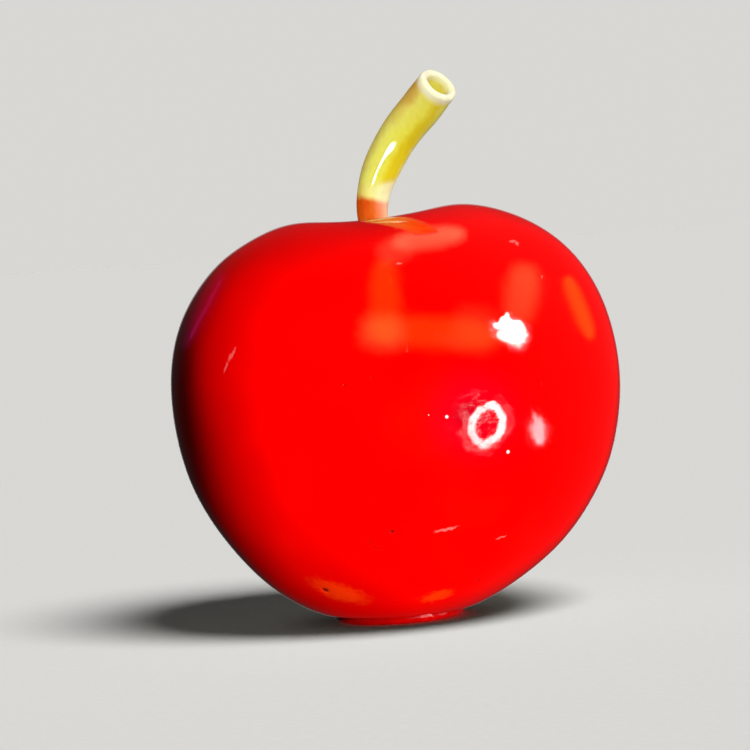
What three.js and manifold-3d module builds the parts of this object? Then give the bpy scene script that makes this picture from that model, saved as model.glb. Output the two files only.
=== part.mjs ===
// Tomato pincushion with a seamless moulded skin and a hollow bent stem.
// Millimetres, +Z up. The flat underside of the base plug lies at Z = 0, the stem's hole is on the
// Z axis, and the front of the fruit faces -Y.
import * as THREE from 'three';
import Module from 'manifold-3d';

// Driving dimensions.
const FRUIT_RADIUS = 18;
const FRUIT_HEIGHT = 32.5;
const SKIN_WALL = 1.0;
const LAYER_GAP = 0.3;
const FINE_GAP = 0.2;

// Half of the fruit's outline, as shares of its radius and height, from the base to the stem's seat.
const OUTLINE = [
  [0.31, 0.014],
  [0.47, 0.055],
  [0.66, 0.135],
  [0.82, 0.24],
  [0.94, 0.37],
  [0.995, 0.53],
  [0.985, 0.67],
  [0.91, 0.80],
  [0.77, 0.905],
  [0.58, 0.972],
  [0.38, 1.0],
  [0.22, 0.98],
  [0.13, 0.954],
];

// How the fruit departs from a true turned shape. Each pair says from where to where a change
// grows: over a radius in millimetres, or over a share of the fruit's height.
const BELLY_OFFSET = 0.8;
const SHOULDER_DROP = 0.6;
const SHOULDER_DROP_X = [5, 11];
const CROWN_HEIGHTS = { right: 0.25, left: -0.45, front: -0.5, back: -1.1 };
const CROWN_RADII = [2.2, 6];
const CROWN_SHARES = [0.55, 0.9];
const GROWTH_RADII = [5.5, 0.8 * FRUIT_RADIUS];
const LOBE_COUNT = 5;
const LOBE_HEIGHT = 0.1;
const FURROW_DEPTH = 0.22;
const FURROW_ANGLE = THREE.MathUtils.degToRad(-38);
const FURROW_WIDTH = 0.3;
const FURROW_SHARES = [0.3, 0.8];

// Stem: a tube that flares from its foot to its open tip, and swells at its bend.
const STEM_SEAT_Z = 31.0;
const STEM_FOOT_RADIUS = 1.12;
const STEM_FLARE = 0.43;
const STEM_FLARE_POWER = 0.7;
const STEM_SWELL = 0.12;
const STEM_SWELL_SHARES = [0.25, 0.55];
const STEM_BORE_SHARE = 0.65;
const STEM_RIM_SHARE = 0.56;
const STEM_POINTS = [
  [0, 0, STEM_SEAT_Z + FINE_GAP],
  [0.05, 0, 33.2],
  [0.62, -0.2, 35.2],
  [2.45, -1.1, 38.3],
  [4.5, -2.5, 40.55],
  [5.75, -3.75, 41.95],
];
const CEMENT_WIDTH = 0.75;
const CEMENT_HEIGHT = 0.8;
const PEG_RADIUS = 0.55;
const PEG_TOP_Z = 33.2;
const PEG_HEAD_RADIUS = 2.6;
const PEG_HEAD_THICKNESS = 0.8;
const PEG_BEVEL = 0.3;

// Base: the plug snaps into the filling hole, with the card above it.
const FILLING_HOLE_RADIUS = 4.0;
const PLUG_FLANGE_RADIUS = 5.2;
const PLUG_FLANGE_THICKNESS = 0.8;
const PLUG_LIP_RADIUS = 4.5;
const PLUG_LIP_THICKNESS = 0.9;
const PLUG_BEVEL = 0.3;
const CARD_RADIUS = 7.0;
const CARD_THICKNESS = 0.6;

// Stuffing: a bag of sawdust inside a layer of wadding.
const BAG_RADIUS = 13.2;
const BAG_HALF_HEIGHT = 9.0;
const BAG_CENTRE_Z = 16.6;
const BAG_CLOTH = 0.5;
const BAG_NECK_RADIUS = 1.3;
const BAG_NECK_BORE = 0.5;
const BAG_MOUTH_RADIUS = 2.1;
const BAG_MOUTH_HEM = { width: 0.2, height: 0.5 };
const BAG_SHOULDER_RADIUS = 1.6 * BAG_NECK_RADIUS;
const TIE_RADIUS = 0.2;
const TIE_TURNS = 3;
const TIE_PITCH = 2.2 * TIE_RADIUS;

// Heights that follow from the dimensions above.
const SEAT_Z = PLUG_FLANGE_THICKNESS + FINE_GAP;
const SEAT_TOP_Z = SEAT_Z + SKIN_WALL;
const PLUG_LIP_Z = SEAT_TOP_Z + LAYER_GAP;
const PLUG_TOP_Z = PLUG_LIP_Z + PLUG_LIP_THICKNESS;
const CARD_Z = PLUG_TOP_Z + LAYER_GAP;
const CARD_TOP_Z = CARD_Z + CARD_THICKNESS;
const NECK_MOUTH_Z = CARD_TOP_Z + LAYER_GAP;
const NECK_WAIST_Z = NECK_MOUTH_Z + 1.6;
const NECK_WAIST_HALF = 0.9;
const PEG_HEAD_TOP_Z = STEM_SEAT_Z - SKIN_WALL - LAYER_GAP;

const wasm = await Module();
wasm.setup();

const colours = {
  skin: { color: 0xe00808, roughness: 0.12, metalness: 0 },
  stem: { color: 0xd9d25a, roughness: 0.25, metalness: 0 },
  peg: { color: 0xb81410, roughness: 0.35, metalness: 0 },
  cement: { color: 0xf0b090, roughness: 0.3, metalness: 0 },
  wadding: { color: 0xeee8d8, roughness: 1, metalness: 0 },
  calico: { color: 0xd8c7a0, roughness: 0.95, metalness: 0 },
  thread: { color: 0xf2efe6, roughness: 0.8, metalness: 0 },
  sawdust: { color: 0xb98a52, roughness: 1, metalness: 0 },
  card: { color: 0x9a8466, roughness: 0.9, metalness: 0 },
  plug: { color: 0xc01410, roughness: 0.35, metalness: 0 },
};

const group = new THREE.Group();

function add(name, geometry, look) {
  const mesh = new THREE.Mesh(geometry, new THREE.MeshStandardMaterial(look));
  mesh.name = name;
  group.add(mesh);
}

// Turns a profile of [radius, z] pairs about the Z axis.
function turned(profile, segments) {
  const points = profile.map(([r, z]) => new THREE.Vector2(r, z));
  return new THREE.LatheGeometry(points, segments).rotateX(Math.PI / 2);
}

// A closed solid for booleans, from positions alone.
function solid(geometry) {
  const found = new Map();
  const corners = [];
  const remap = [];
  const position = geometry.getAttribute('position');
  for (let i = 0; i < position.count; i += 1) {
    const point = [position.getX(i), position.getY(i), position.getZ(i)];
    const key = point.map((value) => Math.round(value * 1e4)).join();
    if (!found.has(key)) {
      found.set(key, corners.length / 3);
      corners.push(...point);
    }
    remap.push(found.get(key));
  }
  const order = geometry.index ? Array.from(geometry.index.array) : remap.map((_, i) => i);
  const triangles = [];
  for (let i = 0; i < order.length; i += 3) {
    const [a, b, c] = [remap[order[i]], remap[order[i + 1]], remap[order[i + 2]]];
    if (a !== b && b !== c && c !== a) triangles.push(a, b, c);
  }
  const mesh = new wasm.Mesh({
    numProp: 3,
    vertProperties: new Float32Array(corners),
    triVerts: new Uint32Array(triangles),
  });
  return new wasm.Manifold(mesh);
}

function geometryOf(manifold) {
  const mesh = manifold.getMesh();
  const geometry = new THREE.BufferGeometry();
  geometry.setAttribute('position', new THREE.BufferAttribute(mesh.vertProperties, 3));
  geometry.setIndex(new THREE.BufferAttribute(mesh.triVerts, 1));
  geometry.computeVertexNormals();
  return geometry;
}

function cylinder(radius, low, high, segments) {
  return turned([[0, low], [radius, low], [radius, high], [0, high]], segments);
}

// The fruit's outline, moved inwards by a depth, as [radius, z] pairs from the base upwards.
function outlineAt(depth, count) {
  const shares = OUTLINE.map(([r, z]) => new THREE.Vector2(r * FRUIT_RADIUS, z * FRUIT_HEIGHT));
  const curve = new THREE.SplineCurve(shares);
  const pairs = [];
  for (let i = 0; i <= count; i += 1) {
    const point = curve.getPointAt(i / count);
    const along = curve.getTangentAt(i / count);
    pairs.push([point.x - depth * along.y, point.y + depth * along.x]);
  }
  return pairs;
}

// How far the crown stands above the outline's top at an angle about the stem.
function crownHeight(angle) {
  const { right, left, front, back } = CROWN_HEIGHTS;
  const mean = (right + left + front + back) / 4;
  const saddle = (right + left - front - back) / 4;
  const across = (right - left) / 2;
  const along = (back - front) / 2;
  return mean + across * Math.cos(angle) + along * Math.sin(angle) + saddle * Math.cos(2 * angle);
}

// A smooth step of a value over a [low, high] pair.
function step(value, [low, high]) {
  return THREE.MathUtils.smoothstep(value, low, high);
}

// Gives a turned layer the fruit's offset belly, uneven crown, soft lobes and one shallow furrow.
function asGrown(geometry) {
  const position = geometry.getAttribute('position');
  for (let i = 0; i < position.count; i += 1) {
    const x = position.getX(i);
    const y = position.getY(i);
    const z = position.getZ(i);
    const radius = Math.hypot(x, y);
    const angle = Math.atan2(y, x);
    const share = THREE.MathUtils.clamp(z / FRUIT_HEIGHT, 0, 1);
    const outer = step(radius, GROWTH_RADII);
    const turn = Math.atan2(Math.sin(angle - FURROW_ANGLE), Math.cos(angle - FURROW_ANGLE));
    const furrow = FURROW_DEPTH * step(share, FURROW_SHARES) * Math.exp(-((turn / FURROW_WIDTH) ** 2));
    const lobe = LOBE_HEIGHT * Math.cos(LOBE_COUNT * (angle - FURROW_ANGLE) + Math.PI);
    const grown = outer * (lobe - furrow);
    const belly = outer * BELLY_OFFSET * Math.sqrt(Math.max(0, Math.sin(Math.PI * share)));
    const upper = step(share, CROWN_SHARES);
    const crown = upper * crownHeight(angle) * step(radius, CROWN_RADII);
    const drop = upper * SHOULDER_DROP * step(-x, SHOULDER_DROP_X);
    position.setX(i, x + grown * Math.cos(angle) + belly);
    position.setY(i, y + grown * Math.sin(angle));
    position.setZ(i, z + crown - drop);
  }
  geometry.computeVertexNormals();
  return geometry;
}

// One seamless shell, with a small hole for the peg above and the filling hole below.
function fruitSkin() {
  const pegHole = PEG_RADIUS + FINE_GAP;
  const outside = outlineAt(0, 26);
  const inside = outlineAt(SKIN_WALL, 16)
    .filter(([r, z]) => z > SEAT_TOP_Z && r > 1.5 * pegHole)
    .reverse();
  const seatEdge = PLUG_FLANGE_RADIUS + LAYER_GAP;
  const profile = [
    [FILLING_HOLE_RADIUS, SEAT_Z],
    [seatEdge, SEAT_Z],
    ...outside,
    [pegHole, STEM_SEAT_Z],
    [pegHole, STEM_SEAT_Z - SKIN_WALL],
    ...inside,
    [seatEdge + SKIN_WALL, SEAT_TOP_Z],
    [FILLING_HOLE_RADIUS, SEAT_TOP_Z],
    [FILLING_HOLE_RADIUS, SEAT_Z],
  ];
  return asGrown(turned(profile, 60));
}

// The layer that rounds out the skin, hollow for the bag and open below for the bag's neck.
function waddingLayer() {
  const depth = SKIN_WALL + LAYER_GAP;
  const pairs = outlineAt(depth, 14);
  const profile = [[0, pairs[0][1]], ...pairs, [0, pairs[pairs.length - 1][1]]];
  const whole = solid(asGrown(turned(profile, 40)));
  const hollow = solid(turned(ellipse(BAG_RADIUS + LAYER_GAP, BAG_HALF_HEIGHT + LAYER_GAP, 16), 40));
  const neckRoom = solid(cylinder(BAG_MOUTH_RADIUS + 2 * LAYER_GAP, 0, BAG_CENTRE_Z, 32));
  const baseRoom = solid(cylinder(CARD_RADIUS + LAYER_GAP, 0, CARD_TOP_Z + LAYER_GAP, 48));
  const pegZ = PEG_HEAD_TOP_Z - PEG_HEAD_THICKNESS - LAYER_GAP;
  const pegRoom = solid(cylinder(PEG_HEAD_RADIUS + LAYER_GAP, pegZ, FRUIT_HEIGHT, 32));
  return geometryOf(whole.subtract(hollow).subtract(neckRoom).subtract(baseRoom).subtract(pegRoom));
}

// An upright ellipse about the bag's centre, as [radius, z] pairs from the bottom pole to the top one.
function ellipse(radius, halfHeight, count) {
  const pairs = [];
  for (let i = 0; i <= count; i += 1) {
    const angle = (Math.PI * i) / count;
    const across = i === 0 || i === count ? 0 : radius * Math.sin(angle);
    pairs.push([across, BAG_CENTRE_Z - halfHeight * Math.cos(angle)]);
  }
  return pairs;
}

// The cloth bag: a thin shell that gathers into a tied neck below.
function sawdustBag() {
  const inside = ellipse(BAG_RADIUS - BAG_CLOTH, BAG_HALF_HEIGHT - BAG_CLOTH, 16);
  const outside = ellipse(BAG_RADIUS, BAG_HALF_HEIGHT, 16);
  const profile = [
    ...inside.reverse().filter(([r, z]) => r > BAG_SHOULDER_RADIUS || z > BAG_CENTRE_Z),
    [BAG_NECK_BORE, NECK_WAIST_Z + NECK_WAIST_HALF],
    [BAG_NECK_BORE, NECK_MOUTH_Z],
    [BAG_MOUTH_RADIUS, NECK_MOUTH_Z],
    [BAG_MOUTH_RADIUS - BAG_MOUTH_HEM.width, NECK_MOUTH_Z + BAG_MOUTH_HEM.height],
    [BAG_NECK_RADIUS, NECK_WAIST_Z - NECK_WAIST_HALF],
    [BAG_NECK_RADIUS, NECK_WAIST_Z + NECK_WAIST_HALF],
    ...outside.filter(([r, z]) => r > BAG_SHOULDER_RADIUS || z > BAG_CENTRE_Z),
  ];
  return turned(profile, 36);
}

// Thread wound round the bag's neck.
class Winding extends THREE.Curve {
  getPoint(share, target = new THREE.Vector3()) {
    const angle = 2 * Math.PI * TIE_TURNS * share;
    const radius = BAG_NECK_RADIUS + FINE_GAP / 2 + TIE_RADIUS;
    const rise = TIE_TURNS * TIE_PITCH * (share - 0.5);
    return target.set(radius * Math.cos(angle), radius * Math.sin(angle), NECK_WAIST_Z + rise);
  }
}

function bagTie() {
  const section = new THREE.Shape().absarc(0, 0, TIE_RADIUS, 0, 2 * Math.PI);
  return new THREE.ExtrudeGeometry(section, {
    steps: 16 * TIE_TURNS,
    curveSegments: 4,
    extrudePath: new Winding(),
  });
}

// How many times its foot's width the stem has at a share of its length.
function stemWidening(share) {
  return 1 + STEM_FLARE * share ** STEM_FLARE_POWER + STEM_SWELL * step(share, STEM_SWELL_SHARES);
}

// Widens a tube along its path as the stem widens.
function flared(geometry, path) {
  const samples = path.getPoints(200);
  const position = geometry.getAttribute('position');
  const point = new THREE.Vector3();
  for (let i = 0; i < position.count; i += 1) {
    point.fromBufferAttribute(position, i);
    let nearest = 0;
    samples.forEach((sample, j) => {
      if (sample.distanceTo(point) < samples[nearest].distanceTo(point)) nearest = j;
    });
    const scale = stemWidening(nearest / (samples.length - 1));
    point.sub(samples[nearest]).multiplyScalar(scale).add(samples[nearest]);
    position.setXYZ(i, point.x, point.y, point.z);
  }
  return geometry;
}

// The open tube of the stem, with a rounded rim at its tip.
function stemTube() {
  const path = new THREE.CatmullRomCurve3(STEM_POINTS.map((p) => new THREE.Vector3(...p)));
  const section = new THREE.Shape().absarc(0, 0, STEM_FOOT_RADIUS, 0, 2 * Math.PI);
  const bore = new THREE.Path().absarc(0, 0, STEM_BORE_SHARE * STEM_FOOT_RADIUS, 0, 2 * Math.PI, true);
  section.holes.push(bore);
  const options = { steps: 20, curveSegments: 10, extrudePath: path };
  const tube = flared(new THREE.ExtrudeGeometry(section, options), path);
  const tipRadius = stemWidening(1) * STEM_FOOT_RADIUS;
  const wall = tipRadius * (1 - STEM_BORE_SHARE);
  const rim = new THREE.TorusGeometry(tipRadius - wall / 2, STEM_RIM_SHARE * wall, 10, 32);
  const out = path.getTangentAt(1);
  rim.applyQuaternion(new THREE.Quaternion().setFromUnitVectors(new THREE.Vector3(0, 0, 1), out));
  rim.translate(...path.getPointAt(1).toArray());
  return geometryOf(solid(tube).add(solid(rim)));
}

// The peg that holds the tube: its head stays under the skin and its shank stands in the bore.
function stemPeg() {
  const headLow = PEG_HEAD_TOP_Z - PEG_HEAD_THICKNESS;
  return turned([
    [0, headLow],
    [PEG_HEAD_RADIUS - PEG_BEVEL, headLow],
    [PEG_HEAD_RADIUS, headLow + PEG_BEVEL],
    [PEG_HEAD_RADIUS, PEG_HEAD_TOP_Z],
    [PEG_RADIUS, PEG_HEAD_TOP_Z],
    [PEG_RADIUS, PEG_TOP_Z - PEG_BEVEL],
    [PEG_RADIUS - PEG_BEVEL, PEG_TOP_Z],
    [0, PEG_TOP_Z],
  ], 40);
}

// The fillet of cement round the stem's foot: hollow-faced, and thin at both of its edges.
function stemCement() {
  const inner = STEM_FOOT_RADIUS + FINE_GAP;
  const low = STEM_SEAT_Z + FINE_GAP;
  const face = [[1, 0], [0.93, 0.15], [0.47, 0.44], [0.13, 0.94], [0, 1]];
  return turned([
    [inner, low],
    ...face.map(([out, up]) => [inner + out * CEMENT_WIDTH, low + up * CEMENT_HEIGHT]),
    [inner, low],
  ], 40);
}

function basePlug() {
  const neck = FILLING_HOLE_RADIUS - LAYER_GAP;
  return turned([
    [0, 0],
    [PLUG_FLANGE_RADIUS - PLUG_BEVEL, 0],
    [PLUG_FLANGE_RADIUS, PLUG_BEVEL],
    [PLUG_FLANGE_RADIUS, PLUG_FLANGE_THICKNESS],
    [neck, PLUG_FLANGE_THICKNESS],
    [neck, PLUG_LIP_Z],
    [PLUG_LIP_RADIUS, PLUG_LIP_Z],
    [PLUG_LIP_RADIUS, PLUG_LIP_Z + PLUG_BEVEL],
    [neck, PLUG_TOP_Z],
    [0, PLUG_TOP_Z],
  ], 48);
}

add('fruit_skin', fruitSkin(), colours.skin);
add('stem_tube', stemTube(), colours.stem);
add('stem_peg', stemPeg(), colours.peg);
add('stem_cement', stemCement(), colours.cement);
add('wadding_layer', waddingLayer(), colours.wadding);
add('sawdust_bag', sawdustBag(), colours.calico);
add('bag_tie', bagTie(), colours.thread);
const coreInset = BAG_CLOTH + LAYER_GAP;
add(
  'sawdust_core',
  turned(ellipse(BAG_RADIUS - coreInset, BAG_HALF_HEIGHT - coreInset, 16), 36),
  colours.sawdust,
);
add('base_card', cylinder(CARD_RADIUS, CARD_Z, CARD_TOP_Z, 40), colours.card);
add('base_plug', basePlug(), colours.plug);

export default group;
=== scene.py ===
import math

import bmesh
import bpy
from mathutils import Matrix, Vector, noise
from mathutils.bvhtree import BVHTree


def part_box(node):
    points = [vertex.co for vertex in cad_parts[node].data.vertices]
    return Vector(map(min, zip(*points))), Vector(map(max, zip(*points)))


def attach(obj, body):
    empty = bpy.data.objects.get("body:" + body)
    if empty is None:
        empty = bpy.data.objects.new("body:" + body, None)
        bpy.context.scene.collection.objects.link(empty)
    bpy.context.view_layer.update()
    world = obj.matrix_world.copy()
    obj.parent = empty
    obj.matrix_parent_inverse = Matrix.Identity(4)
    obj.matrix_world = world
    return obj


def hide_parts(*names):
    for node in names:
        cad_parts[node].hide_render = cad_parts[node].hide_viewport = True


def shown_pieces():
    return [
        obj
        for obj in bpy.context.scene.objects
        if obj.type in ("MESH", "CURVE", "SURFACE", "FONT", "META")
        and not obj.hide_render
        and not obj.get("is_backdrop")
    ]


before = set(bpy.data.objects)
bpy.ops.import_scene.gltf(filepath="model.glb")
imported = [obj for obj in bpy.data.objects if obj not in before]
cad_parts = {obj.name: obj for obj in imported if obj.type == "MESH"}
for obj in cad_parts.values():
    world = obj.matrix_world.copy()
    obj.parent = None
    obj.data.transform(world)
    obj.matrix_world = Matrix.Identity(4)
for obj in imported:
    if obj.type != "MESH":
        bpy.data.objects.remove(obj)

MM = 0.001
WELD = 0.002 * MM
SCENE = bpy.context.scene
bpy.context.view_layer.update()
BODY = "root"

# Camera: nearly level, rolled a little, so that the stem's axis leans to the left.
CAMERA_DISTANCE = 0.26
CAMERA_LENS = 156.0
CAMERA_ELEVATION = math.radians(2.5)
CAMERA_ROLL = math.radians(4.0)
FRUIT_MIDDLE = Vector((0.2, 0.0, 16.3)) * MM
FRAMING_ACROSS = -1.12 * MM
FRAMING_UP = 3.12 * MM

# Light. The key is two suns, one above and one below its middle elevation.
KEY_AZIMUTH = 27
KEY_ELEVATION = 3
KEY_RISE = 20
FLOOR_TONE = 0.687
FLOOR_SIZE = 12.0
FLOOR_DROP = 0.02 * MM

# Stem: the centreline of its tube in mm, its foot's radius and how it widens, as in the CAD. Only
# STEM_TIP_DRAW, by which the tip is narrower, isn't in the CAD.
STEM_POINTS = [
    (0.0, 0.0, 31.2),
    (0.05, 0.0, 33.2),
    (0.62, -0.2, 35.2),
    (2.45, -1.1, 38.3),
    (4.5, -2.5, 40.55),
    (5.75, -3.75, 41.95),
]
STEM_FOOT_RADIUS = 1.12
STEM_FLARE = 0.43
STEM_FLARE_POWER = 0.7
STEM_SWELL = 0.12
STEM_SWELL_SHARES = (0.25, 0.55)
STEM_BORE_SHARE = 0.62
STEM_TIP_DRAW = 0.10


# ---------------------------------------------------------------- camera

def add_object(name, data):
    made = bpy.data.objects.new(name, data)
    SCENE.collection.objects.link(made)
    return made


def axes_at(right, up, back, place):
    """The transform with these three axes and this origin."""
    return Matrix((*zip(right, up, back, place), (0, 0, 0, 1)))


def make_camera():
    level_back = Vector((0, -math.cos(CAMERA_ELEVATION), math.sin(CAMERA_ELEVATION)))
    level_up = Vector((0, math.sin(CAMERA_ELEVATION), math.cos(CAMERA_ELEVATION)))
    level_right = Vector((1, 0, 0))
    right = math.cos(CAMERA_ROLL) * level_right - math.sin(CAMERA_ROLL) * level_up
    up = math.sin(CAMERA_ROLL) * level_right + math.cos(CAMERA_ROLL) * level_up
    aim = FRUIT_MIDDLE + FRAMING_ACROSS * right + FRAMING_UP * up
    place = aim + CAMERA_DISTANCE * level_back
    camera = add_object("camera", bpy.data.cameras.new("camera"))
    camera.data.lens = CAMERA_LENS
    camera.data.clip_start = 1.0 * MM
    camera.matrix_world = axes_at(right, up, level_back, place)
    SCENE.camera = camera
    return place, aim, right, up


CAMERA_PLACE, AIM, RIGHT, UP = make_camera()
SCENE.view_settings.view_transform = "Standard"


# ---------------------------------------------------------------- helpers for nodes

def linear(red, green, blue):
    """An 8-bit display colour as linear RGBA."""
    shares = [value / 255 for value in (red, green, blue)]
    values = [s / 12.92 if s <= 0.04045 else ((s + 0.055) / 1.055) ** 2.4 for s in shares]
    return (*values, 1.0)


class Look:
    """The nodes of a material or a world: each call adds a node and returns its useful output."""

    def __init__(self, name, kind=bpy.data.materials):
        self.owner = kind.new(name)
        self.owner.use_nodes = True
        self.tree = self.owner.node_tree
        self.tree.nodes.clear()

    def node(self, kind, inputs=None, **settings):
        made = self.tree.nodes.new(kind)
        for key, value in settings.items():
            setattr(made, key, value)
        for key, value in (inputs or {}).items():
            if isinstance(value, bpy.types.NodeSocket):
                self.tree.links.new(value, made.inputs[key])
            else:
                made.inputs[key].default_value = value
        return made

    def place(self, stretch=(1, 1, 1), turn=(0, 0, 0)):
        """Object coordinates in millimetres, stretched and turned."""
        coordinates = self.node("ShaderNodeTexCoord").outputs["Object"]
        scale = [value / MM for value in stretch]
        return self.node(
            "ShaderNodeMapping", {"Vector": coordinates, "Rotation": turn, "Scale": scale}
        ).outputs["Vector"]

    def parts(self, vector):
        return self.node("ShaderNodeSeparateXYZ", {"Vector": vector}).outputs

    def length(self, x, y):
        pair = self.node("ShaderNodeCombineXYZ", {"X": x, "Y": y}).outputs[0]
        return self.vector("LENGTH", pair)

    def attribute(self, name):
        return self.node("ShaderNodeAttribute", attribute_name=name).outputs["Fac"]

    def noise(self, at, scale, detail=3.0, rough=0.5, output="Fac"):
        inputs = {"Vector": at, "Scale": scale, "Detail": detail, "Roughness": rough}
        return self.node("ShaderNodeTexNoise", inputs).outputs[output]

    def vector(self, operation, a, b=(0, 0, 0), scale=1.0):
        inputs = {0: a}
        if operation == "SCALE":
            inputs["Scale"] = scale
        elif operation != "LENGTH":
            inputs[1] = b
        made = self.node("ShaderNodeVectorMath", inputs, operation=operation)
        gives_number = operation in ("DOT_PRODUCT", "LENGTH", "DISTANCE")
        return made.outputs["Value" if gives_number else "Vector"]

    def maths(self, operation, a, b=0.0):
        return self.node("ShaderNodeMath", {0: a, 1: b}, operation=operation).outputs[0]

    def times(self, a, b):
        return self.maths("MULTIPLY", a, b)

    def larger(self, a, b):
        return self.maths("MAXIMUM", a, b)

    def between(self, value, low, high, out_low=0.0, out_high=1.0, kind="SMOOTHSTEP"):
        """A step of a value from low to high."""
        inputs = {"Value": value, "From Min": low, "From Max": high}
        inputs.update({"To Min": out_low, "To Max": out_high})
        made = self.node("ShaderNodeMapRange", inputs, interpolation_type=kind)
        return made.outputs["Result"]

    def mix(self, share, a, b):
        """Colour a turned into colour b by a share."""
        inputs = {"Factor": share, 6: a, 7: b}
        return self.node("ShaderNodeMix", inputs, data_type="RGBA").outputs[2]

    def ramp(self, share, stops):
        made = self.node("ShaderNodeValToRGB", {"Fac": share})
        elements = made.color_ramp.elements
        while len(elements) < len(stops):
            elements.new(0.5)
        for element, (position, colour) in zip(elements, stops):
            element.position = position
            element.color = colour
        return made.outputs["Color"]

    def bump(self, height, distance, strength=1.0, normal=None):
        inputs = {"Height": height, "Distance": distance * MM, "Strength": strength}
        if normal is not None:
            inputs["Normal"] = normal
        return self.node("ShaderNodeBump", inputs).outputs["Normal"]

    def surface(self, **inputs):
        """The Principled shader, with underscores in its input names for spaces."""
        named = {key.replace("_", " "): value for key, value in inputs.items()}
        shader = self.node("ShaderNodeBsdfPrincipled", named)
        self.node("ShaderNodeOutputMaterial", {"Surface": shader.outputs["BSDF"]})
        return self.owner


# ---------------------------------------------------------------- helpers for meshes

def dress(mesh, material):
    """Gives a mesh its one material and smooth shading."""
    mesh.materials.clear()
    mesh.materials.append(material)
    mesh.polygons.foreach_set("use_smooth", [True] * len(mesh.polygons))


def mesh_object(name, vertices, faces, material):
    mesh = bpy.data.meshes.new(name)
    mesh.from_pydata([tuple(v) for v in vertices], [], faces)
    dress(mesh, material)
    return add_object(name, mesh)


def as_piece(made, node):
    """Makes an object a piece of the pincushion that stands for a CAD node."""
    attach(made, BODY)
    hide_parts(node)
    return made


def ring_faces(rings, around, closed=False):
    """Quads between rings of vertices that are numbered one after another."""
    faces = []
    last = rings if closed else rings - 1
    for ring in range(last):
        above = (ring + 1) % rings
        for step in range(around):
            after = (step + 1) % around
            faces.append((
                ring * around + step,
                ring * around + after,
                above * around + after,
                above * around + step,
            ))
    return faces


def spline(points, share):
    """A point on the centripetal Catmull-Rom curve through the points."""
    spans = len(points) - 1
    span = min(int(share * spans), spans - 1)
    row = [points[0] * 2 - points[1], *points, points[-1] * 2 - points[-2]][span:span + 4]
    knots = [0.0]
    for start, end in zip(row, row[1:]):
        knots.append(knots[-1] + (end - start).length ** 0.5)
    at = knots[1] + (knots[2] - knots[1]) * (share * spans - span)

    def blend(start, end, low, high):
        return start * ((high - at) / (high - low)) + end * ((at - low) / (high - low))

    row = [blend(row[i], row[i + 1], knots[i], knots[i + 1]) for i in range(3)]
    row = [blend(row[i], row[i + 1], knots[i], knots[i + 2]) for i in range(2)]
    return blend(*row, knots[1], knots[2])


def add_rounder(made, levels):
    rounder = made.modifiers.new("rounder", "SUBSURF")
    rounder.levels = rounder.render_levels = levels


def apply_modifiers(made):
    """Replaces an object's mesh by the one that its modifiers give, and returns it."""
    graph = bpy.context.evaluated_depsgraph_get()
    data = bpy.data.meshes.new_from_object(made.evaluated_get(graph))
    made.modifiers.clear()
    made.data = data
    return data


def turns(count):
    """Angles all the way round, in so many steps."""
    return [2 * math.pi * step / count for step in range(count)]


def outwards(angle):
    """The level direction at an angle about Z."""
    return Vector((math.cos(angle), math.sin(angle), 0))


def clamp(value, low=0.0, high=1.0):
    return max(low, min(high, value))


def smooth(value, low, high):
    share = clamp((value - low) / (high - low))
    return share * share * (3 - 2 * share)


def tree_of(made):
    """A search tree of an object's final faces."""
    graph = bpy.context.evaluated_depsgraph_get()
    return BVHTree.FromObject(made, graph)


def seen_at(tree, across, up):
    """Where the line of sight through a point of the view meets a surface, and its normal. The
    point is in millimetres right of and above the middle of the view."""
    through = AIM + RIGHT * across * MM + UP * up * MM
    sight = (through - CAMERA_PLACE).normalized()
    place, normal, _, _ = tree.ray_cast(CAMERA_PLACE, sight)
    return place, normal


def mirrored(place, normal):
    """The direction that the camera sees reflected at a place of a surface."""
    sight = (place - CAMERA_PLACE).normalized()
    return sight - 2 * sight.dot(normal) * normal


# ---------------------------------------------------------------- fruit skin

# Marks on the front of the fruit: mm right of and above the middle of the view, then sizes in mm.
# Pits and swells have a radius and a depth or a height, and specks have a radius. The others have
# half a width, half a height and a tilt in degrees.
PITS = [
    (1.35, -12.55, 0.22, 0.08),
    (-2.5, -0.8, 0.10, 0.03),
    (-0.3, -0.2, 0.09, 0.03),
    (10.0, -13.0, 0.12, 0.04),
    (-4.0, -17.2, 0.32, 0.07),
    (8.3, -16.4, 0.12, 0.03),
]
SWELLS = [(-10.6, 9.0, 5.0, 0.5), (-13.6, 3.5, 4.0, 0.2)]
SPECKS = [(5.75, -3.35, 0.15), (10.65, -6.15, 0.17), (4.3, -3.2, 0.05), (-9.85, 8.8, 0.16)]
# Painted highlights: pale pink strokes where small dents catch the light.
DENT_GLINTS = [
    (11.0, 10.7, 0.55, 0.20, 35),
    (11.35, 10.5, 0.20, 0.35, 10),
    (5.75, -12.35, 1.15, 0.16, 6),
    (10.1, -13.0, 0.55, 0.13, 3),
    (-11.4, 1.6, 0.80, 0.22, 50),
    (-11.9, 0.6, 0.60, 0.16, 60),
    (1.9, 8.9, 0.30, 0.16, 20),
    (13.4, 7.8, 0.28, 0.10, 80),
]
# Painted highlight: a pale peach stroke along the dimple's near rim, where it mirrors the stem.
RIM_GLINTS = [(1.3, 12.25, 1.5, 0.28, -8)]
# A zone round the ring's reflection: its darker crimson is painted shade, and its stronger scratches
# are real wear.
RING_SHADE_AND_WEAR = [(7.6, -3.2, 5.0, 4.6, 0)]
CURLS = [
    (0.2, -13.9, 0.75, 0.10, -20),
    (-0.3, -13.3, 0.10, 0.55, 10),
    (2.7, 2.3, 0.09, 0.45, -10),
]
# Painted reflections: orange patches low on the front, where the skin mirrors something bright in
# front of and below it.
LOW_REFLECTION_PATCHES = [(-2.9, -17.4, 3.2, 1.7, -14), (5.0, -17.7, 1.7, 1.1, 12)]

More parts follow.
